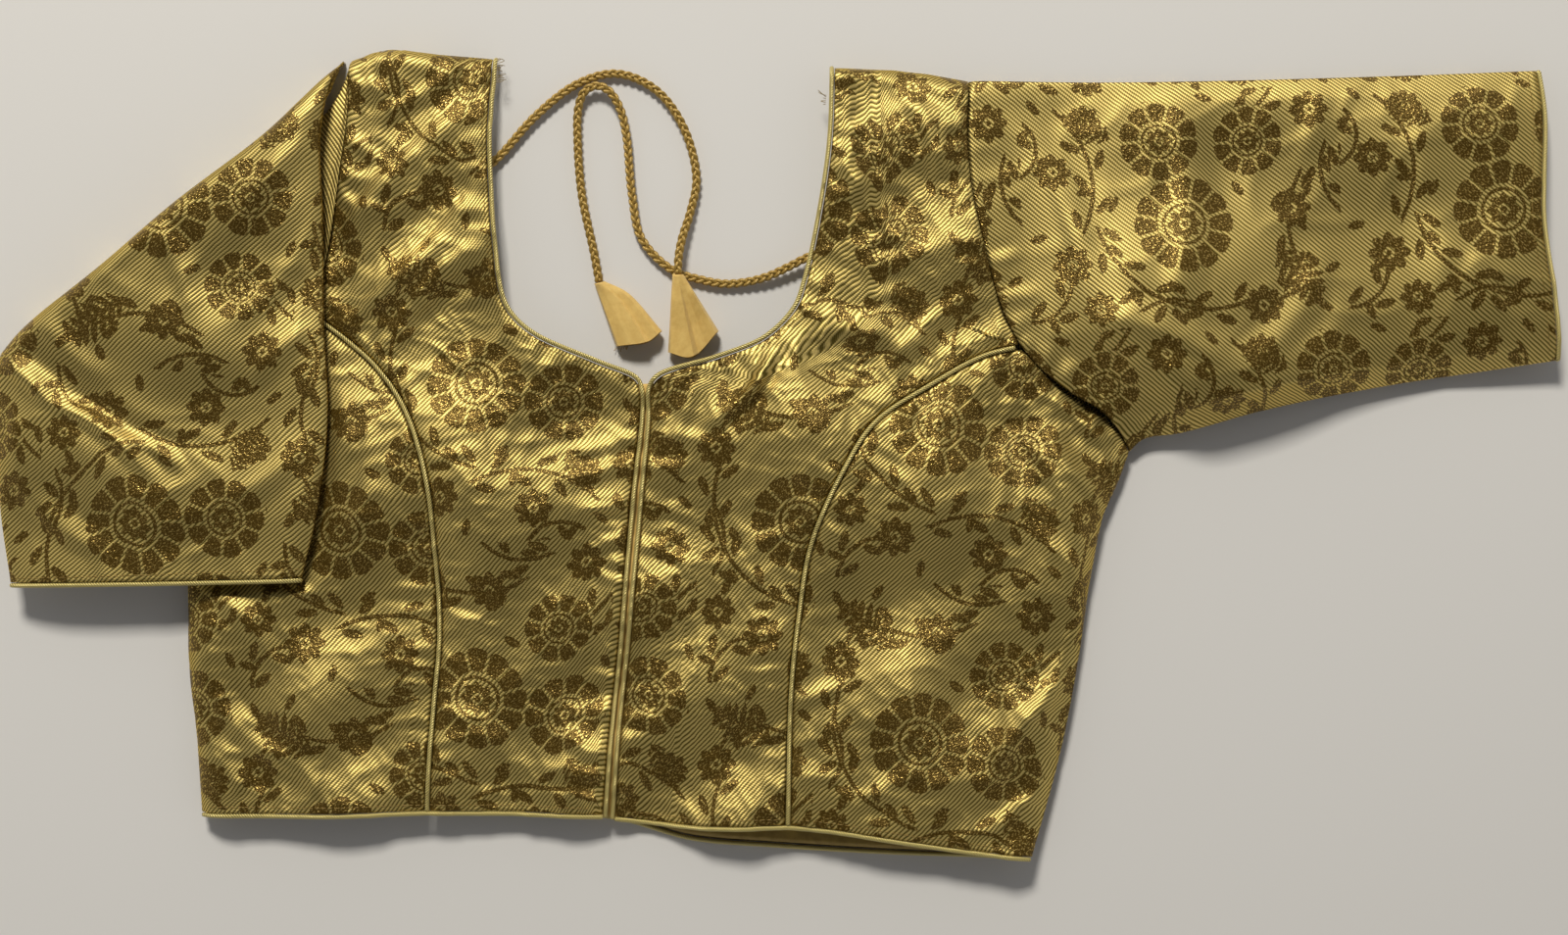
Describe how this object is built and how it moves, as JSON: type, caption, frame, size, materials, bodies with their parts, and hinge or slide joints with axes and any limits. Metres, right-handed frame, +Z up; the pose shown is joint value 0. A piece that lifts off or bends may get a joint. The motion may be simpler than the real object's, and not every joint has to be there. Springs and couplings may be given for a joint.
{
  "type": "choli blouse",
  "caption": "Fitted choli blouse in gold brocade with princess seams, a deep round neck, elbow sleeves and tie cords, laid flat front up with a sleeve folded over the bodice.",
  "frame": {"origin": "centre of the blouse's box in plan, at the plane it lies on, without the tie cords", "axes": "+X to the right along the spread sleeve, +Y from hem to shoulders, +Z up out of the front"},
  "size_m": [0.7478, 0.3898, 0.0203],
  "materials": {
    "gold_brocade": "woven silk brocade with metallic thread, satin",
    "brocade_back": "woven silk brocade, satin",
    "plain_lining": "plain dyed lining cloth, matt",
    "pale_cloth": "plain silk, satin",
    "piping": "corded piping covered in silk, satin",
    "tie_cord": "twisted silk cord, satin"
  },
  "bodies": {
    "root": {"back_panel": "brocade_back", "back_hem_facing": "plain_lining", "front_left_side": "gold_brocade", "front_left_centre": "gold_brocade", "front_right_centre": "gold_brocade", "front_right_side": "gold_brocade", "placket": "pale_cloth", "sleeve_right": "gold_brocade", "sleeve_left": "gold_brocade", "sleeve_left_under": "gold_brocade", "piping_princess_left": "piping", "piping_princess_right": "piping", "piping_neck_left": "piping", "piping_neck_right": "piping", "piping_hem_left": "piping", "piping_hem_right": "piping", "piping_hem_back": "piping", "piping_neck_back": "piping", "piping_sleeve_left": "piping", "piping_sleeve_right": "piping", "dori_left": "tie_cord", "dori_right": "tie_cord", "latkan_left": "pale_cloth", "latkan_right": "pale_cloth"}
  },
  "joints": []
}
